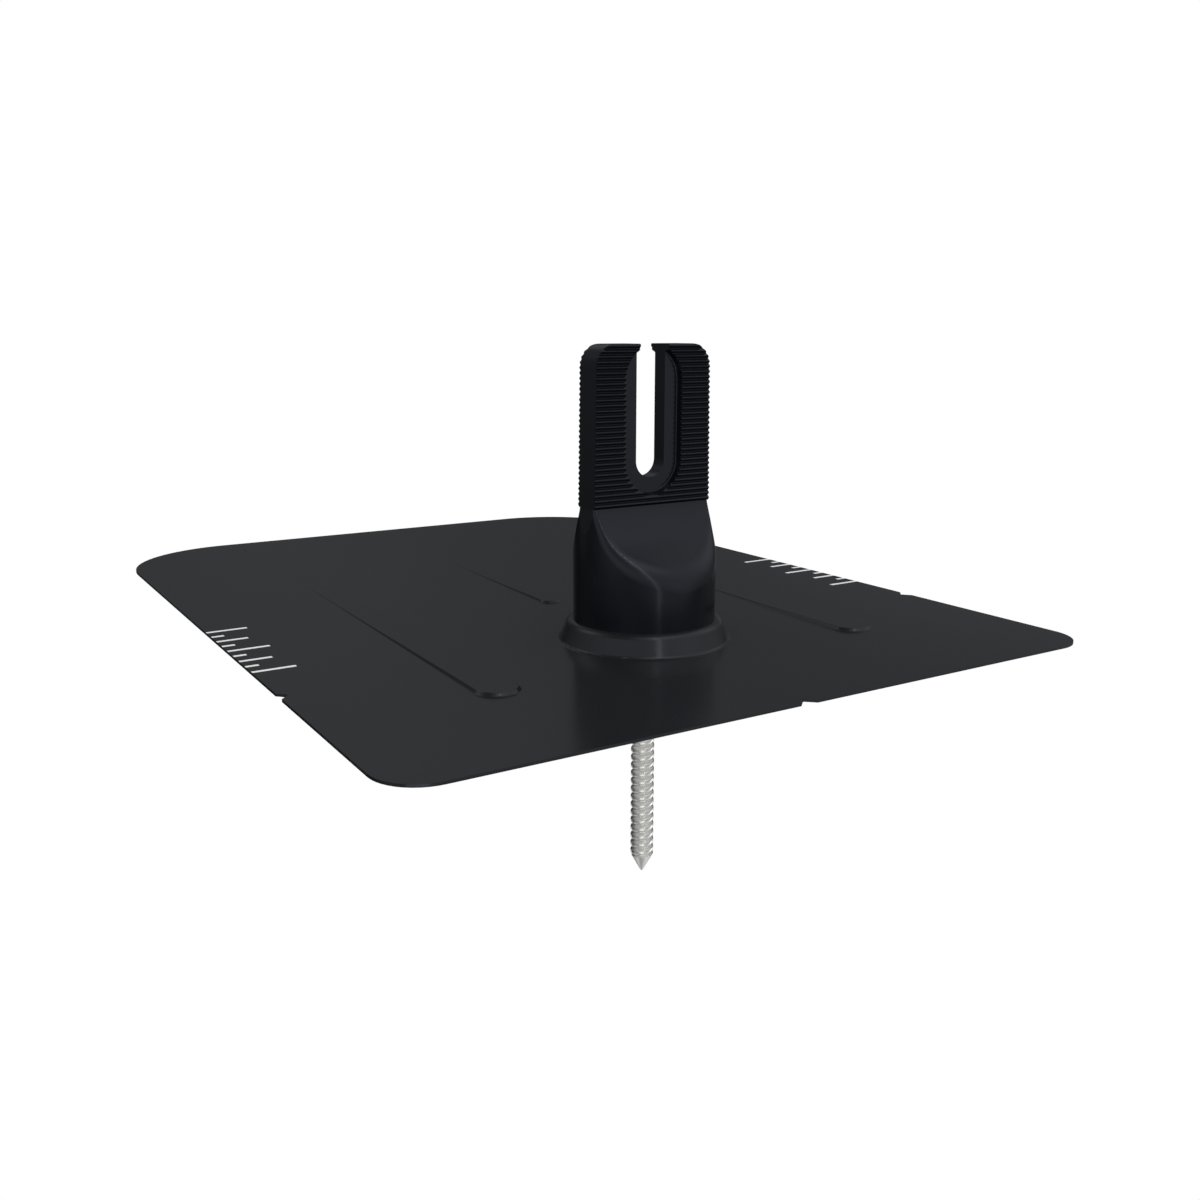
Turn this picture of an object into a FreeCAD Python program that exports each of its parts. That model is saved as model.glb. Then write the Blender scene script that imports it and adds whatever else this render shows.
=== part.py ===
import FreeCAD, Part
import math
import os

V = FreeCAD.Vector

# Roof flashing mount: an embossed sheet that slides under a roof's covering,
# a lag screw that holds it to a rafter, a seal on a raised platform, and a
# slotted tower that locks over the screw's head and carries a rail.
# Frame: +Z up (away from the roof), +Y up the slope, origin on the screw's
# axis in the plane of the sheet's underside. Millimetres.

# ---- sheet ----------------------------------------------------------------
SHEET_T = 0.8              # sheet thickness
SHEET_W = 228.6            # across the slope (9 in)
SHEET_Y0 = -76.2           # down-slope edge, 3 in from the screw
SHEET_Y1 = 228.6           # up-slope edge, 9 in from the screw
CORNER_R_FRONT = 12.7
CORNER_R_BACK = 44.45
NOTCH_HALF = 2.8           # alignment notches in the edges
NOTCH_DEPTH = 2.6
NOTCH_ROOT = 0.5

# ---- embossed platform of the sheet (top surface) --------------------------
BOSS_WINDOW_R = 30.0       # where the flat sheet starts again
BOSS_BASE_R = 26.25
BOSS_SHOULDER_R = 23.6
BOSS_SHOULDER_Z = 7.3
BOSS_BASE_FILLET = 1.2     # radii of the top surface
BOSS_SHOULDER_ROUND = 2.2
STEP_BASE_R = 16.9
PLATFORM_R = 13.4
PLATFORM_Z = 20.2
LAG_HOLE_R = 4.45

# ---- ribs pressed into the sheet --------------------------------------------
# across, centre of the round nose up the slope, half width at half height there,
# loss of half width per mm up the slope, height at the nose
RIBS = [(-63.5, -24.5, 6.3, 0.026, 0.95),
        (63.5, -24.5, 6.3, 0.026, 0.95),
        (0.0, 58.5, 4.0, 0.031, 0.7)]
RIB_END_Y = 172.0          # where the ribs have run out
RIB_FLANK = 0.18           # plan width of a flank as a share of the half width

# ---- tower ------------------------------------------------------------------
TOWER_R = 21.8
TOWER_Z0 = BOSS_SHOULDER_Z
TOWER_TOP = 89.7
PLATE_HALF_W_LOW = 20.65   # half width of the plate at PLATE_Z_LOW
PLATE_Z_LOW = 43.0
PLATE_HALF_W_TOP = 19.88   # at the top, from the casting's draft
PLATE_HALF_T = 4.25        # half thickness at the smooth foot
VALLEY_HALF_T = 4.19
CREST_HALF_T = 4.82
SERR_Z0 = 43.34            # lowest crest
SERR_PITCH = 1.524
SERR_N = 31                # crests on each face
SERR_FLAT = 0.05           # half height of the flats on crests and in valleys
TOP_EDGE_R = 0.62          # rounding above the last crest
TOP_CORNER_R = 6.5
FLARE_Z = 31.0             # where the plate's sides have met the round base
PLATE_JOIN_Z = 42.56       # where the serrated plate grows out of the base casting
# section of a scoop: depth from the axis against height
SCOOP = [(4.25, 42.9), (4.62, 41.4), (5.5, 39.6), (6.6, 37.7), (8.5, 34.7), (11.0, 31.85),
         (14.0, 29.45), (17.0, 27.35), (21.8, 24.0), (24.6, 22.05)]
SCOOP_END_SLOPE = 1.44     # depth gained per mm of fall at the toe
EDGE_R_TOP = 1.4           # rounding of the scoops' edge, at the plate's foot
EDGE_R_TOE = 10.0          # and at the toe; it grows evenly between them
BAR = [(21.8, 19.0), (21.8, 23.0), (21.8, 27.0), (21.74, 29.5), (21.6, 32.5), (21.38, 36.5),
       (21.18, 40.5), (21.08, 43.0), (20.98, 48.0), (20.9, 56.0)]   # radius of the base against height
SLOT_W = 10.0
SLOT_Z = 55.7              # centre of the slot's round bottom
POCKET_R = 9.9             # recess round the slot, at the serrated face
POCKET_FLOOR_R = 9.45
POCKET_ROOT_R = 0.3        # rounding between its wall and its floor
POCKET_Z1 = 79.5           # centre of its upper end
WEB_HALF_T = 2.62
# hollow base
BASE_BORE_R = 18.2
BASE_BORE_R_UP = 17.0
LUG_Z0 = 19.7              # lugs inside the base, that lock under the ears
LUG_R = 13.7
LUG_HALF_ANGLE = 24.0
EAR_ROOM_R = 15.6
HEAD_ROOM_R = 7.6
HEAD_ROOM_Z = 31.4

# ---- lag screw (5/16 in, 4 in under the head) --------------------------------
LAG_R = 3.9                # below the sheet, over the thread's crests
LAG_NECK_R = 4.1           # neck through the seal, above the sheet's underside
LAG_LEN = 101.6
LAG_HEAD_Z = 23.7          # underside of its flange
LAG_THREAD_TOP = -14.4     # the thread runs from here to the point; its crest keeps the shank's radius
LAG_CONE_Z = -71.6
FLANGE_R = 8.4
FLANGE_T = 1.5
HEX_AF = 11.11             # 7/16 in
HEX_H = 5.0

# ---- seal and locking washer -------------------------------------------------
SEAL_T = 2.0
SEAL_R = 11.6
LOCK_T = 1.5
LOCK_R = 12.4
EAR_R = 15.2
EAR_HALF_ANGLE = 20.0
LOCK_HOLE_R = 4.4


def poly_arc(pts, radii, closed=False):
    """Edges of a polyline in a plane, each inner corner rounded to its radius."""
    n = len(pts)
    edges = []
    starts, ends = [None] * n, [None] * n
    for i in range(n):
        if not closed and i in (0, n - 1):
            starts[i] = ends[i] = pts[i]
            continue
        a, p, b = pts[i - 1], pts[i], pts[(i + 1) % n]
        r = radii[i]
        u = (a - p).normalize()
        w = (b - p).normalize()
        ang = u.getAngle(w)
        if r <= 0 or abs(ang - math.pi) < 1e-6:
            starts[i] = ends[i] = p
            continue
        t = r / math.tan(ang / 2)
        starts[i] = p + u * t
        ends[i] = p + w * t
        bis = (u + w).normalize()
        mid = p + bis * (r / math.sin(ang / 2) - r)
        edges.append((i, Part.Arc(starts[i], mid, ends[i]).toShape()))
    arcs = dict(edges)
    out = []
    last = n if closed else n - 1
    for i in range(n):
        if i in arcs:
            out.append(arcs[i])
        if i < last:
            p, q = ends[i], starts[(i + 1) % n]
            if (q - p).Length > 1e-6:
                out.append(Part.LineSegment(p, q).toShape())
    return out


def offset_open(pts, dist):
    """The points of an open polyline in the XZ plane, moved by dist to its left."""
    n = len(pts)
    segs = []
    for i in range(n - 1):
        d = (pts[i + 1] - pts[i]).normalize()
        nrm = V(-d.z, 0, d.x)
        segs.append((pts[i] + nrm * dist, d))
    out = [segs[0][0]]
    for i in range(1, n - 1):
        (p, d), (q, e) = segs[i - 1], segs[i]
        den = d.x * e.z - d.z * e.x
        t = ((q.x - p.x) * e.z - (q.z - p.z) * e.x) / den
        out.append(p + d * t)
    d = segs[-1][1]
    out.append(pts[-1] + V(-d.z, 0, d.x) * dist)
    return out


def wire(edges):
    return Part.Wire(Part.__sortEdges__(edges))


def revolve_profile(edges):
    return Part.Face(wire(edges)).revolve(V(0, 0, 0), V(0, 0, 1), 360)


def cyl(r, z0, z1, x=0.0, y=0.0):
    return Part.makeCylinder(r, z1 - z0, V(x, y, z0), V(0, 0, 1))


# ---- flashing -----------------------------------------------------------------

def smooth(t):
    t = min(1.0, max(0.0, t))
    return t * t * t * (t * (6 * t - 15) + 10)


def rib_row(y, rib):
    """Height and half width, with its flank, of a rib at y up the slope."""
    x0, nose_y, half0, taper, height = rib
    run = min(1.0, max(0.0, (y - nose_y) / (RIB_END_Y - nose_y)))
    half = half0 - taper * (y - nose_y)
    return height * (1.0 - run) ** 1.6, half * (1 + RIB_FLANK / 2)


def rib_section(s):
    """Share of the rib's height at s of its half width."""
    u = abs(s) * (1 + RIB_FLANK / 2)
    return 1.0 - smooth((u - (1 - RIB_FLANK / 2)) / RIB_FLANK)


RIB_S = [0.0, 0.12, 0.24, 0.36, 0.48, 0.58, 0.66, 0.71] + [0.74 + 0.014 * k for k in range(17)] + [0.98, 1.0]
RIB_SEAMS = [14, 21]       # numbers of the points where a flank's surface is parted, at its top and half way down
RIB_SEAMS = sorted([len(RIB_S) - 1 - k for k in RIB_SEAMS] + [len(RIB_S) - 1 + k for k in RIB_SEAMS])
RIB_S = [-s for s in reversed(RIB_S[1:])] + RIB_S


def rib_patch(rib):
    """The stretch of sheet that holds one rib, and the prism of the opening it fills."""
    x0, nose_y = rib[:2]
    ys = [nose_y, nose_y + 1.5, nose_y + 4.0]
    while ys[-1] + 8.0 < RIB_END_Y:
        ys.append(ys[-1] + 8.0)
    ys[-1] = RIB_END_Y - 3.0
    ys += [RIB_END_Y, RIB_END_Y + 4.0, RIB_END_Y + 8.0]

    def border(y):
        return rib_row(y, rib)[1]

    # the sheet's surface is the section (share of width, share of height) times the run (width, height)
    across, along = Part.BSplineCurve(), Part.BSplineCurve()
    across.interpolate(Points=[V(s, rib_section(s), 0) for s in RIB_S])
    along.interpolate(Points=[V(border(y), y, rib_row(y, rib)[0]) for y in ys])
    seams = [across.FirstParameter] + [across.parameter(V(RIB_S[k], rib_section(RIB_S[k]), 0)) for k in RIB_SEAMS]
    seams.append(across.LastParameter)
    faces, section = [], []
    for base in (SHEET_T, 0.0):
        poles = [[V(x0 + p.x * q.x, q.y, base + p.y * q.z) for q in along.getPoles()] for p in across.getPoles()]
        for u1, u2 in zip(seams, seams[1:]):
            surf = Part.BSplineSurface()
            surf.buildFromPolesMultsKnots(poles, across.getMultiplicities(), along.getMultiplicities(),
                                          across.getKnots(), along.getKnots(), False, False, across.Degree, along.Degree)
            surf.segment(u1, u2, along.FirstParameter, along.LastParameter)
            face = surf.toShape()
            faces.append(face)
            for e in face.Edges:
                if all(abs(v.Y - nose_y) < 0.001 for v in e.Vertexes):
                    section.append(e)
    wa, wb, ya, yb = border(ys[0]), border(ys[-1]), ys[0], ys[-1]

    def wall(x1, y1, x2, y2):
        pts = [V(x1, y1, 0), V(x2, y2, 0), V(x2, y2, SHEET_T), V(x1, y1, SHEET_T)]
        return Part.Face(Part.makePolygon(pts + pts[:1]))
    faces.append(wall(x0 + wa, ya, x0 + wb, yb))
    faces.append(wall(x0 + wb, yb, x0 - wb, yb))
    faces.append(wall(x0 - wb, yb, x0 - wa, ya))
    ends = []
    for x in (x0 - wa, x0 + wa):
        ends.append(Part.LineSegment(V(x, ya, 0), V(x, ya, SHEET_T)).toShape())
    end_wire = Part.Wire(Part.__sortEdges__(section + ends))
    faces.append(Part.Face(end_wire))
    shell = Part.Compound(faces)
    shell.sewShape()
    tongue = Part.Solid(shell.Shells[0])
    if tongue.Volume < 0:
        tongue.reverse()
    # round nose: half of the end section, turned about its own middle
    half_box = Part.makeBox(60, 4, 20, V(x0, ya - 2, -5))
    half_section = Part.Face(end_wire).common(half_box).Faces[0]
    nose = half_section.revolve(V(x0, ya, 0), V(0, 0, 1), -180)
    if nose.Volume < 0:
        nose.reverse()
    outline = [Part.LineSegment(V(x0 + wa, ya, 0), V(x0 + wb, yb, 0)).toShape(),
               Part.LineSegment(V(x0 + wb, yb, 0), V(x0 - wb, yb, 0)).toShape(),
               Part.LineSegment(V(x0 - wb, yb, 0), V(x0 - wa, ya, 0)).toShape(),
               Part.Arc(V(x0 - wa, ya, 0), V(x0, ya - wa, 0), V(x0 + wa, ya, 0)).toShape()]
    hole = Part.Face(wire(outline)).extrude(V(0, 0, SHEET_T + 2))
    hole.translate(V(0, 0, -1))
    return tongue, nose, hole


def flashing():
    w = SHEET_W / 2
    pts = [V(-w, SHEET_Y0, 0), V(w, SHEET_Y0, 0), V(w, SHEET_Y1, 0), V(-w, SHEET_Y1, 0)]
    radii = [CORNER_R_FRONT, CORNER_R_FRONT, CORNER_R_BACK, CORNER_R_BACK]
    plate = Part.Face(wire(poly_arc(pts, radii, closed=True))).extrude(V(0, 0, SHEET_T))
    h, d, e = NOTCH_HALF, NOTCH_DEPTH, 1.0
    k = h / d
    vee = [V(-h - k * e, -e, 0), V(h + k * e, -e, 0), V(0, d, 0)]
    cutter = Part.Face(wire(poly_arc(vee, [0, 0, NOTCH_ROOT], closed=True))).extrude(V(0, 0, SHEET_T + 2))
    cutter.translate(V(0, 0, -1))
    front = cutter.copy()
    front.translate(V(0, SHEET_Y0, 0))
    right = cutter.copy()
    right.rotate(V(0, 0, 0), V(0, 0, 1), 90)
    right.translate(V(w, 0, 0))
    left = cutter.copy()
    left.rotate(V(0, 0, 0), V(0, 0, 1), -90)
    left.translate(V(-w, 0, 0))
    plate = plate.cut(front).cut(right).cut(left)
    plate = plate.cut(cyl(BOSS_WINDOW_R, -1, SHEET_T + 1))
    patches = []
    for rib in RIBS:
        tongue, nose, hole = rib_patch(rib)
        plate = plate.cut(hole)
        patches += [tongue, nose]
    # platform: a drawn, stepped boss of constant thickness
    top = [V(BOSS_WINDOW_R, 0, SHEET_T), V(BOSS_BASE_R, 0, SHEET_T),
           V(BOSS_SHOULDER_R, 0, BOSS_SHOULDER_Z), V(STEP_BASE_R, 0, BOSS_SHOULDER_Z),
           V(PLATFORM_R, 0, PLATFORM_Z), V(LAG_HOLE_R, 0, PLATFORM_Z)]
    low = offset_open(top, SHEET_T)
    r_top = [0, BOSS_BASE_FILLET, BOSS_SHOULDER_ROUND, 1.2, 1.9, 0]
    r_low = [0, BOSS_BASE_FILLET + SHEET_T, BOSS_SHOULDER_ROUND - SHEET_T, 1.2 + SHEET_T, 1.9 - SHEET_T, 0]
    edges = poly_arc(top, r_top) + poly_arc(low, r_low)
    edges.append(Part.LineSegment(top[0], low[0]).toShape())
    edges.append(Part.LineSegment(top[-1], low[-1]).toShape())
    boss = revolve_profile(edges)
    body = plate.fuse([boss] + patches)
    return body


# ---- tower --------------------------------------------------------------------

def scoop_edges(sign):
    """Section of one side of the base casting in the plane x = 0, below the plate's top."""
    pts = [V(0, sign * d, z) for d, z in SCOOP]
    curve = Part.BSplineCurve()
    curve.interpolate(Points=pts, InitialTangent=V(0, 0, -1), FinalTangent=V(0, sign * SCOOP_END_SLOPE, -1))
    top = V(0, sign * PLATE_HALF_T, BAR[-1][1] - 1)
    out = V(0, sign * (TOWER_R + 6), SCOOP[-1][1])
    low = V(0, sign * (TOWER_R + 6), TOWER_Z0 - 5)
    seg = [(pts[0], top), (pts[-1], out), (out, low)]
    return [curve.toShape()] + [Part.LineSegment(p, q).toShape() for p, q in seg], top, low


def comb_points(sign):
    """The serrated face of the plate, from its foot to the rounding at its top."""
    pts = [(VALLEY_HALF_T, PLATE_JOIN_Z)]
    for k in range(SERR_N):
        z = SERR_Z0 + SERR_PITCH * k
        pts += [(CREST_HALF_T, z - SERR_FLAT), (CREST_HALF_T, z + SERR_FLAT)]
        if k < SERR_N - 1:
            zv = z + SERR_PITCH / 2
            pts += [(VALLEY_HALF_T, zv - SERR_FLAT), (VALLEY_HALF_T, zv + SERR_FLAT)]
    pts[-1] = (CREST_HALF_T, TOWER_TOP - TOP_EDGE_R)
    return [V(0, sign * d, z) for d, z in pts]


def top_rounding(sign):
    """Quarter round from the last crest to the plate's top."""
    r, q = TOP_EDGE_R, TOP_EDGE_R * (1 - math.sqrt(0.5))
    return Part.Arc(V(0, sign * CREST_HALF_T, TOWER_TOP - r), V(0, sign * (CREST_HALF_T - q), TOWER_TOP - q),
                    V(0, sign * (CREST_HALF_T - r), TOWER_TOP))


def obround(r, z0, z1, y):
    """Closed wire in a plane of constant y: two half rounds joined by straights."""
    a = Part.Arc(V(-r, y, z0), V(0, y, z0 - r), V(r, y, z0)).toShape()
    b = Part.LineSegment(V(r, y, z0), V(r, y, z1)).toShape()
    c = Part.Arc(V(r, y, z1), V(0, y, z1 + r), V(-r, y, z1)).toShape()
    d = Part.LineSegment(V(-r, y, z1), V(-r, y, z0)).toShape()
    return Part.Wire([a, b, c, d])


def tower():
    # base casting, the half at x > 0: turned bar, scooped on two sides down from the plate
    left, l_top, l_low = scoop_edges(-1)
    right, r_top, r_low = scoop_edges(1)
    edges = left + right
    edges.append(Part.LineSegment(l_top, r_top).toShape())
    edges.append(Part.LineSegment(l_low, r_low).toShape())
    slab = Part.Face(wire(edges)).extrude(V(30, 0, 0))
    side = Part.BSplineCurve()
    side.interpolate(Points=[V(r, 0, z) for r, z in BAR], InitialTangent=V(0, 0, 1), FinalTangent=V(-0.01, 0, 1))
    r0, z0 = BAR[0]
    r1, z1 = BAR[-1]
    pts = [V(r1, 0, z1), V(0, 0, z1), V(0, 0, TOWER_Z0), V(r0, 0, TOWER_Z0), V(r0, 0, z0)]
    bar = revolve_profile([side.toShape()] + [Part.LineSegment(p, q).toShape() for p, q in zip(pts, pts[1:])])
    bar.rotate(V(0, 0, 0), V(0, 0, 1), 180)
    half = bar.common(slab)
    for sign in (-1, 1):
        rim = [e for e in half.Edges if e.BoundBox.ZMin > TOWER_Z0 + 2 and e.BoundBox.XLength > 2
               and e.BoundBox.YLength > 5 and e.BoundBox.ZLength > 3 and sign * e.BoundBox.Center.y > 0]
        rise = rim[0].valueAt(rim[0].LastParameter).z > rim[0].valueAt(rim[0].FirstParameter).z
        radii = (EDGE_R_TOE, EDGE_R_TOP) if rise else (EDGE_R_TOP, EDGE_R_TOE)
        half = half.makeFillet(radii[0], radii[1], rim)
    base = half.fuse(half.mirror(V(0, 0, 0), V(1, 0, 0))).removeSplitter()
    base = base.common(Part.makeBox(80, 80, PLATE_JOIN_Z - TOWER_Z0 + 5, V(-40, -40, TOWER_Z0 - 5)))
    # serrated plate
    front, back = comb_points(-1), comb_points(1)
    rounds = [top_rounding(-1), top_rounding(1)]
    ring = Part.makePolygon(list(reversed(front)) + back).Edges + [c.toShape() for c in rounds]
    ring.append(Part.LineSegment(rounds[0].EndPoint, rounds[1].EndPoint).toShape())
    plate = Part.Face(wire(ring))
    plate.translate(V(-30, 0, 0))
    plate = plate.extrude(V(60, 0, 0))
    body = base.fuse(plate)
    # outline seen from the front
    w0, w1 = PLATE_HALF_W_LOW, PLATE_HALF_W_TOP
    R = TOWER_R
    pts = [V(R + 0.8, 0, TOWER_Z0 - 5), V(R + 0.8, 0, FLARE_Z - 4.0), V(R - 0.1, 0, FLARE_Z + 2.0),
           V(w0, 0, PLATE_Z_LOW - 1.0), V(w1, 0, TOWER_TOP)]
    pts = pts + [V(-p.x, 0, p.z) for p in reversed(pts)]
    radii = [0, 0, 12.0, 22.0, TOP_CORNER_R]
    radii = radii + list(reversed(radii))
    outline = Part.Face(wire(poly_arc(pts, radii, closed=True)))
    outline.translate(V(0, -30, 0))
    return body.common(outline.extrude(V(0, 60, 0)))


def finish_tower(body):
    # slot, open at the top, and a drafted recess round it on each face
    cutters = []
    s = SLOT_W / 2
    slot = Part.makeBox(SLOT_W, 40, TOWER_TOP + 5 - SLOT_Z, V(-s, -20, SLOT_Z))
    slot = slot.fuse(Part.makeCylinder(s, 40, V(0, -20, SLOT_Z), V(0, 1, 0)))
    cutters.append(slot)
    for sg in (-1, 1):
        k = (POCKET_R - POCKET_FLOOR_R) / (CREST_HALF_T - WEB_HALF_T)
        out = CREST_HALF_T + 2.0
        a = obround(POCKET_FLOOR_R, SLOT_Z, POCKET_Z1, sg * WEB_HALF_T)
        b = obround(POCKET_R + k * 2.0, SLOT_Z, POCKET_Z1, sg * out)
        recess = Part.makeLoft([a, b], True, True)
        root = [e for e in recess.Edges if all(abs(v.Y - sg * WEB_HALF_T) < 0.001 for v in e.Vertexes)]
        cutters.append(recess.makeFillet(POCKET_ROOT_R, root))
    # hollow base: bore, room for the washer's ears and the head
    def P(r, z):
        return V(r, 0, z)
    prof = [P(0, TOWER_Z0 - 1), P(BASE_BORE_R, TOWER_Z0 - 1), P(BASE_BORE_R_UP, LUG_Z0), P(EAR_ROOM_R, LUG_Z0 + 0.9),
            P(EAR_ROOM_R, LAG_HEAD_Z + 0.3), P(HEAD_ROOM_R + 1.4, LAG_HEAD_Z + 3.0), P(HEAD_ROOM_R, HEAD_ROOM_Z), P(0, HEAD_ROOM_Z)]
    bore = revolve_profile([Part.LineSegment(p, q).toShape() for p, q in zip(prof, prof[1:] + prof[:1])])
    lug_top = PLATFORM_Z + SEAL_T
    for ang in (0, 180):
        lug = revolve_sector(LUG_R, EAR_ROOM_R + 3, LUG_Z0, lug_top, ang, LUG_HALF_ANGLE)
        bore = bore.cut(lug)
    cutters.append(bore)
    for c in cutters:
        body = body.cut(c)
    return body


def revolve_sector(r0, r1, z0, z1, centre, half):
    """Ring sector between two radii and heights, about the azimuth centre."""
    pts = [V(r0, 0, z0), V(r1, 0, z0), V(r1, 0, z1), V(r0, 0, z1)]
    f = Part.Face(Part.makePolygon(pts + pts[:1]))
    s = f.revolve(V(0, 0, 0), V(0, 0, 1), 2 * half)
    s.rotate(V(0, 0, 0), V(0, 0, 1), centre - half)
    return s


# ---- screw, washer, seal --------------------------------------------------------

def lag_screw():
    def P(r, z):
        return V(r, 0, z)
    tip = LAG_HEAD_Z - LAG_LEN
    prof = [P(0, tip), P(0.35, tip + 0.1), P(LAG_R, LAG_CONE_Z), P(LAG_R, 0),
            P(LAG_NECK_R, 0), P(LAG_NECK_R, LAG_HEAD_Z), P(FLANGE_R, LAG_HEAD_Z), P(FLANGE_R, LAG_HEAD_Z + 0.7),
            P(FLANGE_R - 1.6, LAG_HEAD_Z + FLANGE_T), P(0, LAG_HEAD_Z + FLANGE_T)]
    shank = revolve_profile([Part.LineSegment(p, q).toShape() for p, q in zip(prof, prof[1:] + prof[:1])])
    rc = HEX_AF / 2 / math.cos(math.radians(30))
    z0 = LAG_HEAD_Z + FLANGE_T - 0.3
    z1 = LAG_HEAD_Z + FLANGE_T + HEX_H
    hexa = [V(rc * math.cos(math.radians(60 * k)), rc * math.sin(math.radians(60 * k)), z0) for k in range(6)]
    head = Part.Face(Part.makePolygon(hexa + hexa[:1])).extrude(V(0, 0, z1 - z0))
    t = math.tan(math.radians(30))
    dome = revolve_profile([Part.LineSegment(p, q).toShape() for p, q in zip(
        [P(0, z0 - 1), P(rc + 1, z0 - 1), P(rc + 1, z1 - (rc + 1 - HEX_AF / 2 * 0.95) * t), P(HEX_AF / 2 * 0.95, z1), P(0, z1)],
        [P(rc + 1, z0 - 1), P(rc + 1, z1 - (rc + 1 - HEX_AF / 2 * 0.95) * t), P(HEX_AF / 2 * 0.95, z1), P(0, z1), P(0, z0 - 1)])])
    return shank.fuse(head.common(dome))


def lock_washer():
    z0 = PLATFORM_Z + SEAL_T
    body = cyl(LOCK_R, z0, z0 + LOCK_T)
    for ang in (0, 180):
        body = body.fuse(revolve_sector(LOCK_R - 1.0, EAR_R, z0, z0 + LOCK_T, ang, EAR_HALF_ANGLE))
    return body.cut(cyl(LOCK_HOLE_R, z0 - 1, z0 + LOCK_T + 1))


def seal():
    def P(r, z):
        return V(r, 0, z)
    z0, z1 = PLATFORM_Z, PLATFORM_Z + SEAL_T
    pts = [P(LAG_NECK_R, z0), P(SEAL_R, z0), P(SEAL_R, z1), P(LAG_NECK_R, z1)]
    return revolve_profile(poly_arc(pts, [0, 0.6, 0.6, 0], closed=True))


def write(name, shape):
    shape = shape.removeSplitter()
    if len(shape.Solids) == 1:
        shape = shape.Solids[0]
    print("%-14s solids %d valid %s volume %.1f mm3 faces %d  z %.2f..%.2f" % (
        name, len(shape.Solids), shape.isValid(), shape.Volume, len(shape.Faces), shape.BoundBox.ZMin, shape.BoundBox.ZMax))
    shape.exportStep("parts/%s.step" % name)
    return shape


os.makedirs("parts", exist_ok=True)
write("flashing", flashing())
write("tower", finish_tower(tower()))
write("lag_screw", lag_screw())
write("lock_washer", lock_washer())
write("seal", seal())
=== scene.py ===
import math

import bmesh
import bpy
import numpy as np
from mathutils import Matrix, Vector


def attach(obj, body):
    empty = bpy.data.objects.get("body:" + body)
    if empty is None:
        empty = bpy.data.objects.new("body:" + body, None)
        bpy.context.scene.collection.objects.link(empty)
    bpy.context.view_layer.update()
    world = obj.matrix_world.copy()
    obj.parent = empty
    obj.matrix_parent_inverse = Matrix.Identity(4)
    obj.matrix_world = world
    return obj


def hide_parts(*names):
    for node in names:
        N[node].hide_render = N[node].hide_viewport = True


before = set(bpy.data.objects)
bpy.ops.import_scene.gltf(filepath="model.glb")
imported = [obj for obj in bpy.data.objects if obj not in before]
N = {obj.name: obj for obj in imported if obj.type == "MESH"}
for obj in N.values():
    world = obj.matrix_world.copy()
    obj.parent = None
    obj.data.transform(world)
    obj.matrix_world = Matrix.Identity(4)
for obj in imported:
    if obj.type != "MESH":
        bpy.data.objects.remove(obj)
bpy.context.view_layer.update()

# ---- shared numbers, in metres, as in the solids -------------------------------
MM = 0.001
SHEET_T = 0.8 * MM
HALF_W = 114.3 * MM
LAG_R = 3.9 * MM
THREAD_R = 3.7 * MM
LAG_NECK_R = 4.1 * MM
LAG_HEAD_Z = 23.7 * MM
LAG_TIP_Z = -77.9 * MM
LAG_CONE_Z = -71.6 * MM
THREAD_TOP = -14.4 * MM
PITCH = 2.66 * MM


# ---- materials -------------------------------------------------------------------

def new_material(name, colour, rough, metallic=0.0, specular=0.5, tint=(1.0, 1.0, 1.0)):
    m = bpy.data.materials.new(name)
    m.use_nodes = True
    nt = m.node_tree
    b = nt.nodes["Principled BSDF"]
    b.inputs["Base Color"].default_value = (*colour, 1.0)
    b.inputs["Roughness"].default_value = rough
    b.inputs["Metallic"].default_value = metallic
    b.inputs["Specular IOR Level"].default_value = specular
    b.inputs["Specular Tint"].default_value = (*tint, 1.0)
    return m, nt, b


def grain(nt, b, scale, distance, detail=3.0, strength=1.0):
    """A fine bump of noise over the whole surface, in object space."""
    tc = nt.nodes.new("ShaderNodeTexCoord")
    nz = nt.nodes.new("ShaderNodeTexNoise")
    nz.inputs["Scale"].default_value = scale
    nz.inputs["Detail"].default_value = detail
    nz.inputs["Roughness"].default_value = 0.6
    bp = nt.nodes.new("ShaderNodeBump")
    bp.inputs["Distance"].default_value = distance
    bp.inputs["Strength"].default_value = strength
    nt.links.new(tc.outputs["Object"], nz.inputs["Vector"])
    nt.links.new(nz.outputs["Fac"], bp.inputs["Height"])
    nt.links.new(bp.outputs["Normal"], b.inputs["Normal"])
    return nz


sheet_mat, nt, b = new_material("black_sheet", (0.0142, 0.0145, 0.0151), 0.2, tint=(0.92, 0.95, 1.0))
cast_mat, nt, b = new_material("black_casting", (0.0030, 0.0033, 0.0048), 0.2, tint=(0.88, 0.91, 1.0))
grain(nt, b, 2600.0, 0.00002, strength=0.2)
steel_mat, nt, b = new_material("stainless", (0.93, 0.90, 0.82), 0.34, metallic=1.0)
grain(nt, b, 1500.0, 0.00003, strength=0.35)
washer_mat, nt, b = new_material("stainless_washer", (0.6, 0.6, 0.58), 0.35, metallic=1.0)
rubber_mat, nt, b = new_material("epdm", (0.018, 0.018, 0.018), 0.75)
ink_mat, nt, b = new_material("white_print", (0.93, 0.91, 0.87), 0.5)


def dress(obj, mat):
    obj.data.materials.clear()
    obj.data.materials.append(mat)
    for p in obj.data.polygons:
        p.material_index = 0


dress(N["flashing"], sheet_mat)
dress(N["tower"], cast_mat)
dress(N["lock_washer"], washer_mat)
dress(N["seal"], rubber_mat)
dress(N["lag_screw"], steel_mat)


# ---- helpers for meshes --------------------------------------------------------------

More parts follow.
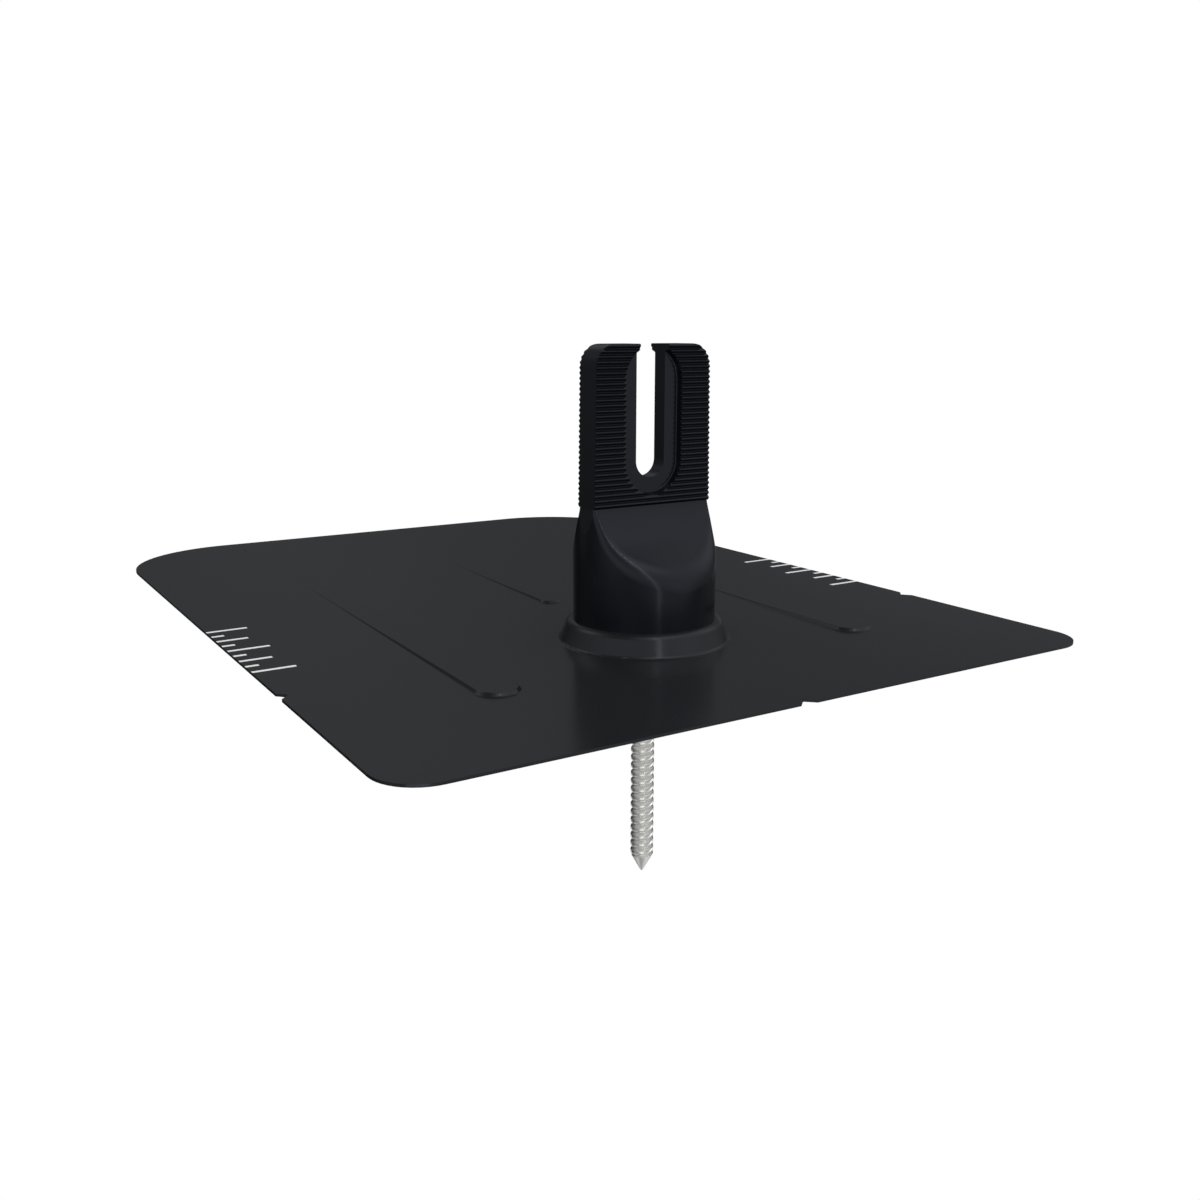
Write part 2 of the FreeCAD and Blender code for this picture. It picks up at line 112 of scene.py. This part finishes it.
def mesh_object(name, verts, faces, smooth=True):
    me = bpy.data.meshes.new(name)
    me.from_pydata([tuple(v) for v in verts], [], faces)
    me.update()
    ob = bpy.data.objects.new(name, me)
    bpy.context.scene.collection.objects.link(ob)
    if smooth:
        for p in me.polygons:
            p.use_smooth = True
    return ob


# ---- printed graduation on both sides of the sheet --------------------------------------

def graduation(name, side):
    verts, faces = [], []
    z0, z1 = SHEET_T - 0.00001, SHEET_T + 0.00003
    half = 0.78 * MM
    for k in range(9):
        y = (25.4 + 6.35 * k) * MM
        if k % 4 == 0:
            run = 12.7 * MM
        elif k % 2 == 0:
            run = 9.6 * MM
        else:
            run = 3.9 * MM
        xa, xb = HALF_W - 0.1 * MM, HALF_W - run
        pts = [(xb, y - half), (xa, y - half), (xa, y + half), (xb, y + half)]
        if side < 0:
            pts = [(-x, yy) for x, yy in reversed(pts)]
        n = len(verts)
        verts += [(x, yy, z0) for x, yy in pts] + [(x, yy, z1) for x, yy in pts]
        faces += [(n + 3, n + 2, n + 1, n), (n + 4, n + 5, n + 6, n + 7)]
        for i in range(4):
            j = (i + 1) % 4
            faces.append((n + i, n + j, n + 4 + j, n + 4 + i))
    ob = mesh_object(name, verts, faces, smooth=False)
    ob.data.materials.append(ink_mat)
    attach(ob, "root")
    return ob


graduation("graduation_left", -1)
graduation("graduation_right", 1)


# ---- lag screw with its rolled wood thread --------------------------------------------------

def thread_radius(z, theta):
    """Radius of the shank below the sheet, with rounded crests and a narrow groove."""
    if z > THREAD_TOP:
        return THREAD_R
    u = ((z - THREAD_PHASE) / PITCH - theta / (2 * math.pi)) % 1.0
    d = min(u, 1.0 - u) * PITCH / MM
    groove = GROOVE * math.exp(-((d / GROOVE_W) ** 1.7))
    crown = 0.10 * (1.0 - min(1.0, d / 1.41)) ** 2
    fade = min(1.0, (THREAD_TOP - z) / (3.0 * MM))
    return THREAD_R - (groove + crown) * fade * MM


THREAD_PHASE = 1.33 * MM
GROOVE = 0.5
GROOVE_W = 0.45


def lag():
    seg = 64
    rows = []      # (z, list of radii)
    tip, cone = LAG_TIP_Z, LAG_CONE_Z
    z = tip + 0.1 * MM
    rows.append((tip + 0.02 * MM, [0.12 * MM] * seg))
    zs = list(np.arange(tip + 0.35 * MM, THREAD_TOP, PITCH / 22))
    for z in zs:
        lim = 0.35 * MM + (z - tip - 0.1 * MM) * (THREAD_R - 0.35 * MM) / (cone - tip - 0.1 * MM)
        rr = []
        for j in range(seg):
            th = 2 * math.pi * j / seg
            r = thread_radius(z, th)
            rr.append(min(r, lim))
        rows.append((z, rr))
    rows.append((THREAD_TOP + 0.1 * MM, [THREAD_R] * seg))
    for z in (-7.0 * MM, -0.05 * MM):
        rows.append((z, [LAG_R] * seg))
    for z in (0.0, LAG_HEAD_Z - 0.3 * MM):
        rows.append((z + 0.02 * MM, [LAG_NECK_R] * seg))
    rows.append((LAG_HEAD_Z, [LAG_NECK_R + 0.0 * MM] * seg))
    for r, z in ((8.4, 23.7), (8.4, 24.4), (6.8, 25.2), (6.0, 25.2)):
        rows.append((z * MM, [r * MM] * seg))
    verts, faces = [], []
    for z, rr in rows:
        for j, r in enumerate(rr):
            th = 2 * math.pi * j / seg
            verts.append((r * math.cos(th), r * math.sin(th), z))
    for i in range(len(rows) - 1):
        for j in range(seg):
            k = (j + 1) % seg
            faces.append((i * seg + j, i * seg + k, (i + 1) * seg + k, (i + 1) * seg + j))
    n = len(verts)
    verts.append((0, 0, LAG_TIP_Z))
    for j in range(seg):
        faces.append((n, (j + 1) % seg, j))
    top = (len(rows) - 1) * seg
    faces.append([top + j for j in range(seg)])
    ob = mesh_object("lag_screw_threaded", verts, faces)
    # hexagon head
    rc = 11.11 / 2 / math.cos(math.radians(30)) * MM
    hv, hf = [], []
    levels = [(24.9, rc), (29.6, rc), (30.2, rc * 0.9)]
    for z, r in levels:
        for k in range(6):
            a = math.radians(60 * k)
            hv.append((r * math.cos(a), r * math.sin(a), z * MM))
    for i in range(2):
        for k in range(6):
            hf.append((i * 6 + k, i * 6 + (k + 1) % 6, (i + 1) * 6 + (k + 1) % 6, (i + 1) * 6 + k))
    hf += [tuple(12 + k for k in range(6)), tuple(5 - k for k in range(6))]
    head = mesh_object("lag_head", hv, hf, smooth=False)
    dg = bpy.context.evaluated_depsgraph_get()
    bm = bmesh.new()
    bm.from_mesh(ob.data)
    bm.from_mesh(head.data)
    bm.to_mesh(ob.data)
    bm.free()
    bpy.data.objects.remove(head)
    ob.data.materials.append(steel_mat)
    ob.data.set_sharp_from_angle(angle=math.radians(38))
    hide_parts("lag_screw")
    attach(ob, "root")
    return ob


lag()

# ---- stage: floor and surroundings ------------------------------------------------------------

def emission_material(name, strength):
    m = bpy.data.materials.new(name)
    m.use_nodes = True
    nt = m.node_tree
    nt.nodes.clear()
    e = nt.nodes.new("ShaderNodeEmission")
    e.inputs["Color"].default_value = (1, 1, 1, 1)
    e.inputs["Strength"].default_value = strength
    o = nt.nodes.new("ShaderNodeOutputMaterial")
    nt.links.new(e.outputs[0], o.inputs["Surface"])
    return m


FLOOR_Z = LAG_TIP_Z
bpy.ops.mesh.primitive_circle_add(vertices=96, radius=14.0, fill_type="NGON", location=(0, 0, FLOOR_Z))
floor = bpy.context.active_object
floor.name = "floor"
floor.data.materials.append(emission_material("pale_floor", 1.0))
bpy.ops.mesh.primitive_uv_sphere_add(segments=64, ring_count=32, radius=13.5, location=(0, 0, FLOOR_Z))
backdrop = bpy.context.active_object
backdrop.name = "backdrop"
backdrop.data.materials.append(emission_material("pale_backdrop", 1.0))
for o in (floor, backdrop):
    o.visible_diffuse = False
    o.visible_glossy = False
    o.visible_transmission = False
    o.visible_shadow = False
    o.visible_volume_scatter = False

# ---- light --------------------------------------------------------------------------------------

scene = bpy.context.scene
world = bpy.data.worlds.new("studio")
scene.world = world
world.use_nodes = True
wn = world.node_tree
wn.nodes.clear()

# soft panels of light all round: azimuth from +X towards +Y, elevation, narrowness, strength
LIGHT_TINT = (0.945, 0.975, 1.04)      # slightly cool, as daylight tubes
SKY = [(20, -60, 5, 0.467), (-90, 25, 5, 0.199), (-60, -60, 9, 0.197), (-180, -40, 9, 0.289),
       (-103, -40, 9, 0.468), (-26, -40, 9, 0.511), (-60, 0, 9, 0.312), (-180, 12, 9, 0.212),
       (-160, 12, 9, 0.218), (-140, 12, 9, 0.370), (-100, 12, 9, 0.277), (-60, 12, 9, 0.086),
       (-22, 25, 9, 0.221), (0, 25, 9, 0.190), (158, 25, 9, 0.194), (-51, 40, 9, 0.238),
       (-26, 40, 9, 0.047), (0, 40, 16, 0.212), (-100, 60, 16, 0.611), (-60, 60, 16, 0.384),
       (20, 60, 16, 0.193), (140, -60, 24, 0.744), (40, 0, 24, 0.125), (120, 0, 24, 0.095),
       (80, 12, 24, 0.054), (140, 12, 24, 0.056), (68, 25, 24, 0.074), (51, 40, 24, 0.187),
       (77, 40, 24, 0.178), (129, 40, 24, 0.673)]


def sky_math(operation, first, second):
    node = wn.nodes.new("ShaderNodeMath")
    node.operation = operation
    for socket, value in zip(node.inputs, (first, second)):
        if isinstance(value, (int, float)):
            socket.default_value = value
        else:
            wn.links.new(value, socket)
    return node.outputs[0]


direction = wn.nodes.new("ShaderNodeTexCoord").outputs["Generated"]
total = 0.0
for azimuth, elevation, narrowness, strength in SKY:
    az, el = math.radians(azimuth), math.radians(elevation)
    dot = wn.nodes.new("ShaderNodeVectorMath")
    dot.operation = "DOT_PRODUCT"
    wn.links.new(direction, dot.inputs[0])
    dot.inputs[1].default_value = (math.cos(az) * math.cos(el), math.sin(az) * math.cos(el), math.sin(el))
    lobe = sky_math("POWER", sky_math("MAXIMUM", dot.outputs["Value"], 0.0), narrowness)
    total = sky_math("ADD", sky_math("MULTIPLY", lobe, strength), total)
background = wn.nodes.new("ShaderNodeBackground")
tinted = wn.nodes.new("ShaderNodeVectorMath")
tinted.operation = "MULTIPLY"
wn.links.new(total, tinted.inputs[0])
tinted.inputs[1].default_value = LIGHT_TINT
wn.links.new(tinted.outputs["Vector"], background.inputs["Color"])
world_out = wn.nodes.new("ShaderNodeOutputWorld")
wn.links.new(background.outputs[0], world_out.inputs["Surface"])


def panel(name, azimuth, distance, z0, z1, width, radiance):
    """An upright rectangular panel of light that faces the axis of the screw."""
    data = bpy.data.lights.new(name, "AREA")
    data.shape = "RECTANGLE"
    data.size = width
    data.size_y = z1 - z0
    data.energy = radiance * math.pi * width * (z1 - z0)
    data.color = LIGHT_TINT
    ob = bpy.data.objects.new(name, data)
    a = math.radians(azimuth)
    pos = Vector((math.cos(a), math.sin(a), 0)) * distance
    ob.location = pos + Vector((0, 0, (z0 + z1) / 2))
    ob.rotation_euler = pos.to_track_quat("Z", "Y").to_euler()
    scene.collection.objects.link(ob)
    return ob


# one tall narrow panel in three lengths, which lean a little towards the left
panel("key_top", -99.0, 1.5, 1.3, 2.9, 0.045, 8.2)
panel("key_strip", -101.3, 1.5, 0.55, 1.3, 0.045, 4.2)
panel("key_foot", -100.2, 1.5, -0.45, 0.55, 0.045, 2.2)

# panels below the sheet's level, which mostly light the screw
panel("low_left", 94.0, 1.2, -1.2, -0.5, 0.6, 0.9)
panel("low_front", -125.0, 1.2, -1.15, -0.42, 0.9, 1.0)
panel("low_right", -8.0, 1.2, -1.15, -0.42, 0.9, 1.1)

# a soft fill under the sheet, which lights the upper flanks of the thread
data = bpy.data.lights.new("under_fill", "AREA")
data.shape = "DISK"
data.size = 0.2
data.energy = 0.4 * math.pi * math.pi * 0.1 ** 2
data.color = LIGHT_TINT
under_fill = bpy.data.objects.new("under_fill", data)
under_fill.location = (0.0, 0.0, -0.003)
under_fill.visible_camera = False
scene.collection.objects.link(under_fill)

# a broad light from straight above, which only lifts what scatters light
data = bpy.data.lights.new("overhead", "AREA")
data.shape = "DISK"
data.size = 3.0
data.energy = 1.87 * math.pi * math.pi * 1.5 ** 2
data.color = LIGHT_TINT
overhead = bpy.data.objects.new("overhead", data)
overhead.location = (0.0, 0.0, 2.4)
overhead.visible_glossy = False
scene.collection.objects.link(overhead)

# ---- camera: solved from the photograph's straight edges -------------------------------------------

cam_data = bpy.data.cameras.new("camera")
cam_data.sensor_fit = "HORIZONTAL"
cam_data.sensor_width = 36.0
cam_data.lens = 34.713
cam_data.clip_start = 0.01
cam_data.clip_end = 60.0
cam = bpy.data.objects.new("camera", cam_data)
cam.location = (-0.195074, -0.287901, 0.093246)
cam.rotation_euler = (math.radians(76.911), 0.0, math.radians(-31.891))
scene.collection.objects.link(cam)
scene.camera = cam

scene.view_settings.view_transform = "Standard"
scene.view_settings.look = "None"
scene.view_settings.exposure = 0.0
scene.view_settings.gamma = 1.0
